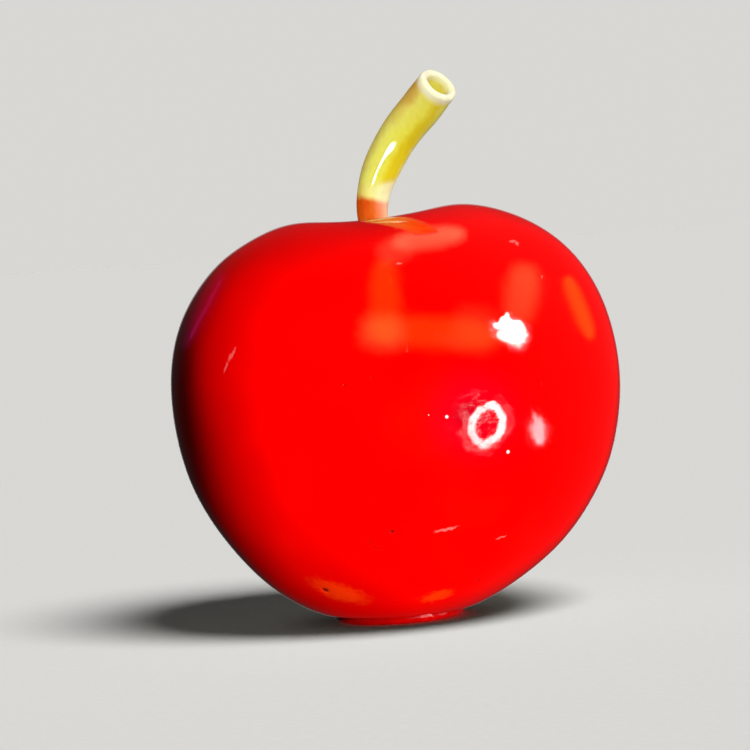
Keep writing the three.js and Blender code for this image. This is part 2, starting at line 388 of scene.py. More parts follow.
# The colours of the skin and its marks, as linear RGBA.
SKIN_REDS = [(0.30, (0.66, 0.0, 0.0, 1)), (0.55, (0.80, 0.0, 0.0, 1)), (0.75, (0.90, 0.001, 0.0, 1))]
# Painted shade: the darker crimson round the ring's reflection.
RING_SHADE_CRIMSON = (0.22, 0.0, 0.004, 1)
# Thin paint with the stem's painted reflection: the orange in the dimple.
DIMPLE_TINT_AND_REFLECTION = (0.85, 0.11, 0.03, 1)
# Painted reflection: the orange of the low patches.
REFLECTION_ORANGE = (0.90, 0.034, 0.001, 1)
# Painted shade: dark red in the pits and the curled dents.
HOLLOW_SHADE_RED = (0.15, 0.004, 0.003, 1)
# Painted highlight: the pink of the dent glints.
DENT_GLINT_PINK = (0.95, 0.30, 0.28, 1)
# Painted highlight: the peach of the rim glint.
RIM_GLINT_PEACH = (0.95, 0.42, 0.30, 1)
SPECK_PALE = (0.9, 0.75, 0.7, 1)

# Fine scratches run in four directions, each a turn of the noise in radians and its scale.
SCRATCH_TURNS = [
    ((0.5, 0.2, 0.9), 1.6),
    ((1.3, 0.9, 0.1), 2.0),
    ((0.1, 1.1, 2.2), 1.3),
    ((2.0, 0.3, 1.5), 1.8),
]
SCRATCH_STRETCH = (0.22, 2.6, 2.6)


def oval_mask(look, at, tree, across, up, half_width, half_height, tilt, edge=0.4):
    """How far a place is inside an oval mark that lies on the surface, from 0 to 1."""
    place, normal = seen_at(tree, across, up)
    flat = (RIGHT - normal * normal.dot(RIGHT)).normalized()
    steep = normal.cross(flat)
    turn = math.radians(tilt)
    wide = (flat * math.cos(turn) + steep * math.sin(turn)) / half_width
    high = (steep * math.cos(turn) - flat * math.sin(turn)) / half_height
    offset = look.vector("SUBTRACT", at, tuple(place / MM))
    x = look.vector("DOT_PRODUCT", offset, tuple(wide))
    y = look.vector("DOT_PRODUCT", offset, tuple(high))
    inside = look.between(look.length(x, y), edge, 1.0, 1.0, 0.0)
    near = look.vector("DISTANCE", at, tuple(place / MM))
    reach = 1.5 * max(half_width, half_height)
    return look.times(inside, look.between(near, reach, 1.3 * reach, 1.0, 0.0))


def marks(look, at, tree, rows, edge=0.4):
    """How far a place is inside any of several oval marks."""
    total = 0.0
    for row in rows:
        total = look.larger(oval_mask(look, at, tree, *row, edge=edge), total)
    return total


def round_marks(rows):
    """Rows of round marks as rows for marks()."""
    return [(across, up, radius, radius, 0) for across, up, radius in rows]


def dimple_tint_and_reflection(look, at):
    """Patchy, and strongest in the dimple round the stem's foot. Its orange is thin paint with the
    stem's reflection painted in.
    """
    parts = look.parts(at)
    near = look.between(look.length(parts["X"], parts["Y"]), 1.2, 4.6, 1.0, 0.0)
    high = look.between(parts["Z"], 28.0, 31.0)
    patchy = look.between(look.noise(at, 0.9, detail=2.0), 0.35, 0.65)
    return look.times(look.times(near, high), patchy)


def scratch_mask(look, shade_and_wear):
    """Thin crests of drawn-out noise, stronger where the skin is worn round the ring's reflection."""
    scratches = 0.0
    for turn, scale in SCRATCH_TURNS:
        drawn = look.place(stretch=SCRATCH_STRETCH, turn=turn)
        crest = look.maths("ABSOLUTE", look.maths("SUBTRACT", look.noise(drawn, scale, 5.0), 0.5))
        line = look.between(crest, 0.0, 0.010, 1.0, 0.0)
        kept = look.between(look.noise(look.place(turn=turn), 0.5, 3.0), 0.50, 0.60)
        scratches = look.larger(look.times(line, kept), scratches)
    return look.times(scratches, look.between(shade_and_wear, 0.0, 1.0, 0.08, 0.20))


def red_vinyl(tree):
    look = Look("red_vinyl")
    at = look.place()
    ragged = look.vector("SUBTRACT", look.noise(at, 2.2, output="Color"), (0.5, 0.5, 0.5))
    shaken = look.vector("ADD", at, look.vector("SCALE", ragged, scale=0.5))
    swirled = look.vector("ADD", at, look.vector("SCALE", ragged, scale=1.6))

    shade_and_wear = marks(look, at, tree, RING_SHADE_AND_WEAR, edge=0.0)
    low_reflections = marks(look, swirled, tree, LOW_REFLECTION_PATCHES, edge=0.3)
    pits = marks(look, at, tree, round_marks([row[:3] for row in PITS]))
    curls = marks(look, shaken, tree, CURLS)
    # The pits and curls: dents in the bump, and painted shade in the colour.
    dents_and_shade = look.larger(pits, look.times(curls, 0.5))
    dent_glints = marks(look, shaken, tree, DENT_GLINTS)
    rim_glints = marks(look, shaken, tree, RIM_GLINTS)
    specks = marks(look, at, tree, round_marks(SPECKS))

    colour = look.ramp(look.noise(at, 0.09, detail=2.0), SKIN_REDS)
    # Marks mixed into the red. Painted light and shade among them: the crimson round the ring, the
    # low orange reflections, the dark red in the hollows, the pink dent glints and the peach rim
    # glint. The dimple's orange is thin paint with the stem's reflection painted in, and the specks
    # are dust.
    for share, strength, shade in (
        (shade_and_wear, 0.9, RING_SHADE_CRIMSON),
        (dimple_tint_and_reflection(look, at), 0.5, DIMPLE_TINT_AND_REFLECTION),
        (low_reflections, 0.85, REFLECTION_ORANGE),
        (dents_and_shade, 0.9, HOLLOW_SHADE_RED),
        (dent_glints, 0.30, DENT_GLINT_PINK),
        (rim_glints, 0.75, RIM_GLINT_PEACH),
        (specks, 1.0, SPECK_PALE),
    ):
        colour = look.mix(look.times(share, strength), colour, shade)

    scratches = scratch_mask(look, shade_and_wear)
    dust = look.between(look.noise(at, 7.0, 1.0), 0.76, 0.80)
    skin = look.bump(look.noise(at, 1.1, 2.0), 0.004, 0.4)
    skin = look.bump(look.maths("SUBTRACT", dust, scratches), 0.004, 1.0, skin)
    skin = look.bump(dents_and_shade, -0.06, 0.8, skin)
    rough = look.between(look.noise(at, 0.25, 4.0, 0.65), 0.35, 0.75, 0.015, 0.035)
    rough = look.maths("ADD", rough, look.times(scratches, 0.06))
    return look.surface(
        Base_Color=colour, Roughness=0.5, Specular_IOR_Level=0.0, Normal=skin,
        Coat_Weight=1.0, Coat_IOR=1.5, Coat_Roughness=rough, Coat_Normal=skin,
    )


def fruit_skin():
    mesh = bmesh.new()
    mesh.from_mesh(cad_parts["fruit_skin"].data)
    bmesh.ops.remove_doubles(mesh, verts=mesh.verts, dist=WELD)
    bmesh.ops.join_triangles(
        mesh, faces=mesh.faces, angle_face_threshold=math.radians(60),
        angle_shape_threshold=math.radians(120),
    )
    data = bpy.data.meshes.new("fruit_skin_look")
    mesh.to_mesh(data)
    mesh.free()
    made = add_object("fruit_skin_look", data)
    add_rounder(made, 3)
    fine = apply_modifiers(made)
    tree = tree_of(made)
    swells = [(across, up, size, -height) for across, up, size, height in SWELLS]
    dents = [(seen_at(tree, across, up)[0], size, depth) for across, up, size, depth in PITS + swells]
    make_uneven(fine, dents)
    dress(fine, red_vinyl(tree))
    return as_piece(made, "fruit_skin")


def make_uneven(data, dents):
    """Gives the skin slight waves, its pits and its fuller side. A swell is a dent of less than no
    depth, and the base and the dimple keep their shape."""
    normals = [v.normal.copy() for v in data.vertices]
    for vertex, normal in zip(data.vertices, normals):
        at = vertex.co / MM
        wave = 0.05 * noise.noise(at * 0.16) + 0.004 * noise.noise(at * 0.4)
        move = wave * smooth(at.z, 1.0, 4.0) * smooth(math.hypot(at.x, at.y), 1.5, 4.0)
        for place, size, depth in dents:
            away = (vertex.co - place).length / MM
            if away < 3 * size:
                move -= depth * math.exp(-((away / size) ** 2))
        vertex.co += normal * move * MM
    data.update()


# ---------------------------------------------------------------- stem

def stem_vinyl():
    look = Look("stem_vinyl")
    at = look.place()
    along = look.attribute("along")
    side = look.attribute("side")
    inner = look.attribute("inner")
    wobble = look.maths("SUBTRACT", look.noise(at, 0.8, 2.0), 0.5)
    across = look.maths("ADD", side, look.times(wobble, 0.25))
    length = look.maths("ADD", along, look.times(wobble, 0.06))
    # Across the tube the tones are its own, except that the ochre towards its left edge is painted
    # shade and its paler right edge painted light.
    upper = look.ramp(across, [
        (0.03, linear(240, 226, 130)),
        (0.12, linear(228, 204, 30)),
        (0.30, linear(226, 206, 22)),
        (0.46, linear(234, 228, 84)),
        (0.80, linear(228, 224, 108)),
        (0.93, linear(218, 208, 104)),
        (1.0, linear(212, 190, 84)),
    ])
    top = look.ramp(across, [
        (0.05, linear(238, 230, 110)),
        (0.22, linear(230, 214, 40)),
        (0.45, linear(236, 230, 90)),
        (0.72, linear(232, 222, 110)),
        (0.88, linear(216, 178, 84)),
        (1.0, linear(206, 160, 60)),
    ])
    low = look.ramp(across, [
        (0.05, linear(244, 236, 190)),
        (0.35, linear(247, 243, 182)),
        (0.65, linear(240, 232, 140)),
        (0.9, linear(222, 202, 100)),
    ])
    # The foot's orange-red is red paint run up from the skin, with the skin's bounced red light
    # painted in too.
    foot = look.ramp(across, [
        (0.08, linear(246, 176, 146)),
        (0.32, linear(240, 128, 92)),
        (0.48, linear(216, 84, 20)),
        (0.9, linear(204, 74, 4)),
    ])
    leaning = look.maths("ADD", length, look.times(side, 0.10))
    colour = look.mix(look.between(length, 0.6, 0.85), upper, top)
    colour = look.mix(look.between(leaning, 0.38, 0.46), low, colour)
    higher = look.maths("SUBTRACT", length, look.times(side, 0.035))
    colour = look.mix(look.between(higher, 0.18, 0.25), foot, colour)
    rim = look.between(length, 0.93, 1.0)
    colour = look.mix(look.times(rim, 0.92), colour, linear(242, 240, 218))
    # Painted light: the bore's inside paler yellow, as light through the tube's wall would make it.
    colour = look.mix(inner, colour, linear(250, 240, 120))
    streaks = look.noise(look.place(stretch=(3.0, 3.0, 0.6)), 0.9, 4.0)
    streak = look.times(look.between(streaks, 0.35, 0.7), 0.14)
    colour = look.mix(streak, colour, linear(204, 188, 60))
    fine = look.bump(look.noise(at, 2.4, 4.0), 0.02, 0.35)
    rough = look.between(look.noise(at, 1.2, 3.0), 0.3, 0.7, 0.02, 0.045)
    return look.surface(
        Base_Color=colour, Roughness=0.5, Specular_IOR_Level=0.1, Normal=fine,
        Subsurface_Weight=0.8, Subsurface_Radius=(1.0, 0.85, 0.3), Subsurface_Scale=1.0 * MM,
        Coat_Weight=0.45, Coat_IOR=1.5, Coat_Roughness=rough, Coat_Normal=fine,
    )


def stem_frames(count):
    """Points along the stem with two directions across it that don't twist."""
    points = [Vector(p) for p in STEM_POINTS]
    places = [spline(points, i / count) for i in range(count + 1)]
    frames = []
    left = Vector((-1, 0, 0))
    for i, place in enumerate(places):
        ahead = places[min(i + 1, count)] - places[max(i - 1, 0)]
        ahead.normalize()
        left = (left - ahead * left.dot(ahead)).normalized()
        frames.append((place, ahead, left, ahead.cross(left)))
    return frames


def stem_tube():
    around = 48
    count = 60
    rim_steps = 10
    frames = stem_frames(count)
    vertices, alongs, sides, inners = [], [], [], []

    def ring(frame_at, radius, lift, along, inner):
        place, ahead, left, back = frame_at
        for angle in turns(around):
            out = left * math.cos(angle) + back * math.sin(angle)
            point = place + out * radius + ahead * lift
            rough = 1 + 0.012 * noise.noise(point * 0.7)
            vertices.append((place + ahead * lift + out * radius * rough) * MM)
            alongs.append(along)
            sides.append(0.5 + 0.5 * math.cos(angle))
            inners.append(inner)

    def outer_radius(share):
        swell = STEM_SWELL * smooth(share, *STEM_SWELL_SHARES)
        swell -= STEM_TIP_DRAW * smooth(share, 0.75, 1.0)
        return STEM_FOOT_RADIUS * (1 + STEM_FLARE * share ** STEM_FLARE_POWER + swell)

    for i, frame_at in enumerate(frames):
        ring(frame_at, outer_radius(i / count), 0.0, i / count, 0.0)
    tip = outer_radius(1.0)
    wall = tip * (1 - STEM_BORE_SHARE)
    middle = tip - wall / 2
    for step in range(rim_steps + 1):
        angle = math.pi * step / rim_steps
        lift = 0.52 * wall * math.sin(angle) + 0.03
        ring(frames[-1], middle + 0.5 * wall * math.cos(angle), lift, 1.0, 0.0)
    for i in reversed(range(count + 1)):
        inner = smooth(1 - i / count, 0.01, 0.06)
        ring(frames[i], outer_radius(i / count) * STEM_BORE_SHARE, 0.0, i / count, inner)
    rings = len(vertices) // around
    made = mesh_object("stem_tube_look", vertices, ring_faces(rings, around, True), stem_vinyl())
    for name, values in (("along", alongs), ("side", sides), ("inner", inners)):
        layer = made.data.attributes.new(name, "FLOAT", "POINT")
        layer.data.foreach_set("value", values)
    return as_piece(made, "stem_tube")


# ---------------------------------------------------------------- cement, peg, plug and card

def dried_cement():
    look = Look("dried_cement")
    at = look.place()
    cloudy = look.noise(at, 1.4, 4.0)
    colour = look.ramp(cloudy, [
        (0.30, linear(238, 120, 84)),
        (0.52, linear(246, 176, 140)),
        (0.70, linear(250, 214, 186)),
    ])
    lumps = look.bump(look.noise(at, 3.0, 3.0), 0.05, 0.6)
    rough = look.between(cloudy, 0.3, 0.7, 0.12, 0.35)
    return look.surface(
        Base_Color=colour, Roughness=rough, Specular_IOR_Level=0.5, Normal=lumps,
        Subsurface_Weight=0.4, Subsurface_Radius=(1.0, 0.5, 0.3), Subsurface_Scale=0.5 * MM,
    )


def turned(profile, around, radius_at):
    """Vertices of a profile of (radius, z) pairs turned about Z, with each radius made uneven."""
    vertices = []
    for radius, z in profile:
        for angle in turns(around):
            vertices.append((outwards(angle) * radius_at(radius, angle) + Vector((0, 0, z))) * MM)
    return vertices


def stem_cement():
    """A bead of cement that climbs the stem's foot and runs out over the dimple."""
    low, high = (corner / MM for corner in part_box("stem_cement"))
    inner = STEM_FOOT_RADIUS - 0.05
    reach = high.x - inner
    # The bead's outer face, as shares of its reach and of its height.
    face = [(1.0, -0.10), (1.02, 0.0), (0.86, 0.10), (0.62, 0.20)]
    face += [(0.40, 0.38), (0.24, 0.62), (0.10, 0.95)]
    profile = [(inner, low.z - 0.1)]
    profile += [(inner + out * reach, low.z + up * (high.z - low.z)) for out, up in face]
    profile += [(inner, high.z)]

    def radius_at(radius, angle):
        spill = 1 + 0.55 * noise.noise(Vector((1.3 * math.cos(angle), 1.3 * math.sin(angle), 4.0)))
        spill += 0.35 * max(0.0, math.cos(angle + 0.4))
        return inner + (radius - inner) * spill

    around = 96
    vertices = turned(profile, around, radius_at)
    faces = ring_faces(len(profile), around, True)
    made = mesh_object("stem_cement_look", vertices, faces, dried_cement())
    add_rounder(made, 1)
    as_piece(made, "stem_cement")


PEG_REDS = ((0.42, 0.008, 0.006, 1), (0.62, 0.02, 0.014, 1))
PLUG_REDS = ((0.30, 0.0, 0.0, 1), (0.42, 0.0005, 0.0, 1))


def satin_red(name, deep, bright):
    look = Look(name)
    at = look.place()
    colour = look.ramp(look.noise(at, 0.6, 3.0), [(0.3, deep), (0.7, bright)])
    flow = look.noise(look.place(stretch=(1, 1, 4)), 1.5, 3.0)
    rubbed = look.between(look.noise(at, 1.2, 5.0, 0.7), 0.45, 0.7, 0.22, 0.5)
    skin = look.bump(flow, 0.02, 0.5)
    return look.surface(
        Base_Color=colour, Roughness=rubbed, Specular_IOR_Level=0.4, Normal=skin,
        Coat_Weight=0.2, Coat_Roughness=0.2,
    )


def grey_card():
    look = Look("grey_card")
    at = look.place()
    fibres = look.noise(look.place(stretch=(0.6, 2.5, 2.5), turn=(0.3, 0.1, 0.8)), 2.0, 5.0, 0.7)
    colour = look.ramp(fibres, [(0.3, linear(128, 108, 82)), (0.7, linear(184, 162, 128))])
    fleck = look.between(look.noise(at, 5.0, 2.0), 0.66, 0.72)
    colour = look.mix(look.times(fleck, 0.6), colour, linear(92, 74, 56))
    plies = look.noise(look.place(stretch=(0.3, 0.3, 8.0)), 1.5, 2.0)
    rough = look.bump(plies, 0.05, 0.5, look.bump(fibres, 0.04, 0.6))
    return look.surface(Base_Color=colour, Roughness=0.9, Specular_IOR_Level=0.2, Normal=rough)


def finish_cad_node(name, material, edge):
    """Gives a CAD node its material and edges rounded by so many mm."""
    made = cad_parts[name]
    dress(made.data, material)
    weld = made.modifiers.new("weld", "WELD")
    weld.merge_threshold = WELD
    bevel = made.modifiers.new("edges", "BEVEL")
    bevel.width = edge * MM
    bevel.segments = 3
    bevel.limit_method = "ANGLE"
    bevel.angle_limit = math.radians(35)
    bevel.harden_normals = True


# ---------------------------------------------------------------- stuffing

def cotton_wadding():
    look = Look("cotton_wadding")
    at = look.place()
    hairs = look.noise(look.place(stretch=(0.5, 2.2, 2.2), turn=(0.4, 1.0, 0.2)), 2.2, 6.0, 0.7)
    cross = look.noise(look.place(stretch=(2.2, 0.5, 2.2), turn=(1.1, 0.2, 0.7)), 2.2, 6.0, 0.7)
    matted = look.times(look.maths("ADD", hairs, cross), 0.5)
    colour = look.ramp(matted, [
        (0.30, linear(196, 184, 158)),
        (0.50, linear(236, 228, 208)),
        (0.70, linear(250, 246, 234)),
    ])
    seed = look.between(look.noise(at, 1.6, 1.0), 0.74, 0.77)
    colour = look.mix(look.times(seed, 0.7), colour, linear(120, 92, 60))
    skin = look.bump(matted, 0.25, 0.9)
    return look.surface(
        Base_Color=colour, Roughness=0.95, Specular_IOR_Level=0.1, Normal=skin,
        Sheen_Weight=0.5, Sheen_Roughness=0.6,
    )


WADDING_GRAIN = 0.42 * MM


def wadding():
    """Tufted wadding: the CAD layer remeshed, with its surface drawn in between the tufts."""
    made = add_object("wadding_look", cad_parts["wadding_layer"].data.copy())
    remesh = made.modifiers.new("remesh", "REMESH")
    remesh.mode = "VOXEL"
    remesh.voxel_size = WADDING_GRAIN
    data = apply_modifiers(made)
    normals = [v.normal.copy() for v in data.vertices]
    for vertex, normal in zip(data.vertices, normals):
        at = vertex.co / MM
        tuft = noise.noise(at * 0.45) + 0.5 * noise.noise(at * 1.3)
        vertex.co -= normal * (0.14 + 0.12 * tuft) * MM
    dress(data, cotton_wadding())
    as_piece(made, "wadding_layer")


# Calico: pairs of yarns round the bag, and radians of weave to a mm up it.
CALICO_YARNS_ROUND = 150.0
CALICO_YARNS_UP = 11.0


def calico():
    """Unbleached plain weave. Two yarns take about 0.55 mm each way."""
    look = Look("calico")
    at = look.place()
    parts = look.parts(at)
    turn_of = look.maths("ARCTAN2", parts["Y"], parts["X"])
    warp = look.maths("SINE", look.times(turn_of, CALICO_YARNS_ROUND))
    weft = look.maths("SINE", look.times(parts["Z"], CALICO_YARNS_UP))
    weave = look.times(look.maths("ADD", look.times(warp, weft), 1.0), 0.5)
    slub = look.noise(look.place(stretch=(0.4, 0.4, 3.0)), 1.6, 4.0)
    colour = look.ramp(look.times(look.maths("ADD", weave, slub), 0.5), [
        (0.25, linear(176, 156, 116)),
        (0.50, linear(208, 190, 150)),
        (0.75, linear(228, 214, 178)),
    ])
    skin = look.bump(weave, 0.10, 0.8, look.bump(slub, 0.08, 0.5))
    return look.surface(
        Base_Color=colour, Roughness=0.92, Specular_IOR_Level=0.15, Normal=skin,
        Sheen_Weight=0.25, Sheen_Roughness=0.5,
    )


# The bag, with lengths in mm. The simulation runs enlarged, and moves no place by more than
# BAG_CAP. BAG_THROAT and BAG_MOUTH are radii, each with its share of the way down to the tie and
# on to the open end. CORE_SHARE is the sawdust's size as a share of its CAD solid's.
BAG_SCALE = 20.0
BAG_FRAMES = 18
BAG_CAP = 0.3
BAG_AROUND = 96
BAG_RINGS = 44
BAG_SLACK = 0.955
BAG_NECK = 2.0
BAG_THROAT = ((1.35, 0.4), (1.12, 0.8), (1.10, 1.0))
BAG_MOUTH = ((1.3, 0.5), (1.8, 1.0))
BAG_PLEATS = 14
BAG_PLEAT_DEPTH = 0.6
BAG_CREASE_DEPTH = 0.9
BAG_CLEARANCE = 0.35
BAG_CLOTH = 0.3
CORE_SHARE = 0.97


def bag_start(wide, tall, centre, neck_z, mouth_z):
    """The slack bag before it is filled: rings from the top down to the gathered neck's mouth."""
    rings = []
    for ring in range(1, BAG_RINGS):
        polar = math.pi * ring / BAG_RINGS
        rings.append((wide * math.sin(polar), centre + tall * math.cos(polar)))
    rings = [(r, z) for r, z in rings if r > BAG_NECK or z > centre]
    last_z = rings[-1][1]
    rings += [(r, (1 - down) * last_z + down * neck_z) for r, down in BAG_THROAT]
    rings += [(r, (1 - down) * neck_z + down * mouth_z) for r, down in BAG_MOUTH]
    vertices = [Vector((0, 0, centre + tall))]
    for r, z in rings:
        gather = smooth(centre - z, -0.3 * tall, tall) * BAG_PLEAT_DEPTH
        for angle in turns(BAG_AROUND):
            fold = gather * math.cos(BAG_PLEATS * angle) * min(1.0, r / 5.0)
            spot = Vector((math.cos(angle) * 2.5, math.sin(angle) * 2.5, z * 0.3))
            crease = BAG_CREASE_DEPTH * noise.noise(spot) * smooth(r, BAG_NECK, 3 * BAG_NECK)
            width = BAG_SLACK * r + fold + crease
            vertices.append(Vector((width * math.cos(angle), width * math.sin(angle), z)))
    faces = [(0, 1 + step, 1 + (step + 1) % BAG_AROUND) for step in range(BAG_AROUND)]
    faces += [tuple(1 + corner for corner in face) for face in ring_faces(len(rings), BAG_AROUND)]
    return vertices, faces


def fill_bag(made, held_below):
    """Inflates the bag with the cloth simulation, held at its neck. It runs enlarged."""
    data = made.data
    held = made.vertex_groups.new(name="held")
    held.add([v.index for v in data.vertices if v.co.z < held_below], 1.0, "REPLACE")
    start = [v.co.copy() for v in data.vertices]
    cloth = made.modifiers.new("filling", "CLOTH")
    cloth.settings.quality = 6
    cloth.settings.mass = 0.3
    cloth.settings.tension_stiffness = 12
    cloth.settings.compression_stiffness = 6
    cloth.settings.bending_stiffness = 0.4
    cloth.settings.use_pressure = True
    cloth.settings.uniform_pressure_force = 4.0
    cloth.settings.vertex_group_mass = "held"
    cloth.settings.effector_weights.gravity = 0
    cloth.collision_settings.use_collision = False
    cloth.point_cache.frame_start = 1
    cloth.point_cache.frame_end = BAG_FRAMES
    for number in range(1, BAG_FRAMES + 1):
        SCENE.frame_set(number)
        bpy.context.view_layer.update()
    graph = bpy.context.evaluated_depsgraph_get()
    moved = [v.co.copy() for v in made.evaluated_get(graph).data.vertices]
    made.modifiers.clear()
    SCENE.frame_set(1)
    cap = BAG_CAP * BAG_SCALE * MM
    for vertex, before, after in zip(data.vertices, start, moved):
        shift = after - before
        if shift.length > cap:
            shift *= cap / shift.length
        vertex.co = before + shift


def calico_bag():
    low, high = (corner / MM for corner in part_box("sawdust_bag"))
    core_low, core_high = (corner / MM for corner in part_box("sawdust_core"))
    centre = (core_low.z + core_high.z) / 2
    tall = high.z - centre
    neck_z = sum(corner.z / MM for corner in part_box("bag_tie")) / 2
    vertices, faces = bag_start(high.x, tall, centre, neck_z, low.z)
    enlarged = [v * BAG_SCALE * MM for v in vertices]
    made = mesh_object("calico_bag_look", enlarged, faces, calico())
    fill_bag(made, (centre - tall + 0.5) * BAG_SCALE * MM)
    # Back to size, between the sawdust and the wadding.
    for vertex in made.data.vertices:
        at = vertex.co / (BAG_SCALE * MM)
        at.z -= centre
        if math.hypot(at.x, at.y) > BAG_NECK or at.z > 0:
            out = math.hypot(math.hypot(at.x, at.y) / high.x, at.z / tall)
            least = CORE_SHARE * core_high.x / high.x + BAG_CLEARANCE / tall
            at *= clamp(out, least, 1.0) / out
        at.z += centre
        vertex.co = at * MM
    made.data.update()
    thick = made.modifiers.new("cloth", "SOLIDIFY")
    thick.thickness = BAG_CLOTH * MM
    thick.offset = -1
    add_rounder(made, 1)
    as_piece(made, "sawdust_bag")


def waxed_thread():
    look = Look("waxed_thread")
    at = look.place()
    parts = look.parts(at)
    turn_of = look.maths("ARCTAN2", parts["Y"], parts["X"])
    lay = look.times(turn_of, 26.0)
    twist = look.maths("SINE", look.maths("ADD", lay, look.times(parts["Z"], 16.0)))
    fuzz = look.noise(at, 6.0, 3.0)
    shade = look.times(look.maths("ADD", look.maths("ADD", twist, 1.0), fuzz), 0.33)
    colour = look.ramp(shade, [(0.1, linear(196, 186, 160)), (0.8, linear(244, 240, 226))])
    skin = look.bump(twist, 0.04, 0.8)
    return look.surface(Base_Color=colour, Roughness=0.55, Specular_IOR_Level=0.35, Normal=skin)


def bag_tie():
    """A thread of two twisted plies, wound round the bag's neck."""
    low, high = (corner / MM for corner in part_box("bag_tie"))
    wraps = 3
    twists = 28
    plies = 2
    samples = 240
    around = 10
    thread = 0.2
    radius = high.x - thread
    vertices, faces = [], []
    for ply in range(plies):
        start = len(vertices)
        for i in range(samples + 1):
            share = i / samples
            out = outwards(2 * math.pi * wraps * share)
            place = out * radius
            place.z = low.z + thread + (high.z - low.z - 2 * thread) * share
            lay = 2 * math.pi * (twists * share + ply / plies)
            place += (out * math.cos(lay) + Vector((0, 0, 1)) * math.sin(lay)) * thread * 0.45
            for turn in turns(around):
                side = out * math.cos(turn) + Vector((0, 0, 1)) * math.sin(turn)
                vertices.append((place + side * thread * 0.55) * MM)
        faces += [tuple(start + k for k in face) for face in ring_faces(samples + 1, around)]
        faces.append(tuple(reversed(range(start, start + around))))
        faces.append(tuple(range(len(vertices) - around, len(vertices))))
    made = mesh_object("bag_tie_look", vertices, faces, waxed_thread())
    as_piece(made, "bag_tie")


def packed_sawdust():
    look = Look("packed_sawdust")
    at = look.place()
    cells = look.node("ShaderNodeTexVoronoi", {"Vector": at, "Scale": 2.2, "Randomness": 1.0})
    tone = look.node("ShaderNodeSeparateColor", {"Color": cells.outputs["Color"]}).outputs[0]
    colour = look.ramp(tone, [
        (0.1, linear(128, 84, 44)),
        (0.5, linear(184, 136, 82)),
        (0.9, linear(220, 182, 126)),
    ])
    grain = look.noise(look.place(stretch=(1, 1, 3)), 5.0, 3.0)
    skin = look.bump(cells.outputs["Distance"], -0.3, 0.8, look.bump(grain, 0.05, 0.5))
    return look.surface(Base_Color=colour, Roughness=0.95, Specular_IOR_Level=0.1, Normal=skin)


def sawdust_core():
    """Sawdust packed to the bag's shape, with its chips standing out."""
    low, high = (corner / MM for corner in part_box("sawdust_core"))
    middle = (low.z + high.z) / 2
    half = (high.z - low.z) / 2
    rings = 120
    around = 180
    vertices = []

    def put(x, y, z):
        at = Vector((x, y, z))
        chip = noise.voronoi(at * 1.6)[0][0]
        sunk = CORE_SHARE - 0.012 * clamp(chip / 0.6)
        vertices.append((at * sunk + Vector((0, 0, middle))) * MM)

    for ring in range(1, rings):
        polar = math.pi * ring / rings
        for angle in turns(around):
            wide = high.x * math.sin(polar)
            put(wide * math.cos(angle), wide * math.sin(angle), -half * math.cos(polar))
    faces = ring_faces(rings - 1, around)
    for z, ring in ((-half, 0), (half, rings - 2)):
        put(0, 0, z)
        pole = len(vertices) - 1
        for step in range(around):
            pair = (ring * around + step, ring * around + (step + 1) % around)
            faces.append((pole, pair[1], pair[0]) if z < 0 else (pole, *pair))
    made = mesh_object("sawdust_core_look", vertices, faces, packed_sawdust())
    as_piece(made, "sawdust_core")


# ---------------------------------------------------------------- reflections

# A soft edge is made of steps, with how brightly the card glows at each.
FADE_STEPS = 6
SOFT_LEVELS = [smooth(step / FADE_STEPS, 0.0, 1.0) for step in range(FADE_STEPS + 1)]
WHITE = (1.0, 0.98, 0.95)
BLUSH = (1.0, 0.86, 0.9)
WARM = (1.0, 0.52, 0.02)
PEACH = (1.0, 0.55, 0.16)
PINK = (1.0, 0.60, 0.28)
VIOLET = (0.3, 0.05, 1.0)
ROSE = (1.0, 0.05, 0.5)
SHARP_CARD_AWAY = 0.25
SOFT_CARD_AWAY = 0.32

# The bright ring: its middle, its tilt and the half sizes of its loops from the outside inwards.
RING_AT = (8.96, -4.0)
RING_TILT = 22
RING_SIZES = ((1.5, 1.95), (1.35, 1.8), (0.95, 1.35), (0.8, 1.2))

# Soft glows: middle and half sizes in mm of the view, strength, width of the fade, tilt, colour.
GLOWS = [
    ("card_bar_up", (0.8, 5.9, 1.15, 3.2), 1.4, 1.3, 0, WARM),
    ("card_bar_corner", (0.6, 3.4, 1.7, 1.35), 1.8, 1.6, 8, PEACH),
    ("card_bar_across", (4.6, 3.4, 5.4, 1.2), 1.5, 1.5, 3, WARM),
    ("card_by_blob", (8.0, 3.6, 1.6, 1.5), 1.1, 2.2, 10, PEACH),
    ("card_bar_right", (11.7, 6.5, 1.2, 2.2), 1.8, 1.6, 8, PEACH),
    ("card_bar_edge", (16.3, 5.4, 0.55, 2.6), 1.2, 0.8, -22, WARM),
    ("card_by_stem", (4.3, 10.9, 2.8, 0.75), 2.2, 1.0, -8, PINK),
    ("card_down_from_stem", (1.6, 9.9, 1.3, 0.9), 1.0, 1.2, -20, PINK),
    ("card_left_edge", (-13.6, 5.2, 0.45, 3.2), 0.16, 1.2, 28, ROSE),
    ("card_violet", (8.4, -3.4, 3.4, 3.6), 0.09, 5.0, 10, VIOLET),
]

# The stem's highlight: its middle, the direction across the stem, and its light's size and power.
GLINT_AT = (1.6, 18.2)
GLINT_TILT = -33
GLINT_SIZE = (0.26, 0.024)
GLINT_POWER = 1.6
GLINT_AWAY = 0.2
GLINT_PROBE = 0.2


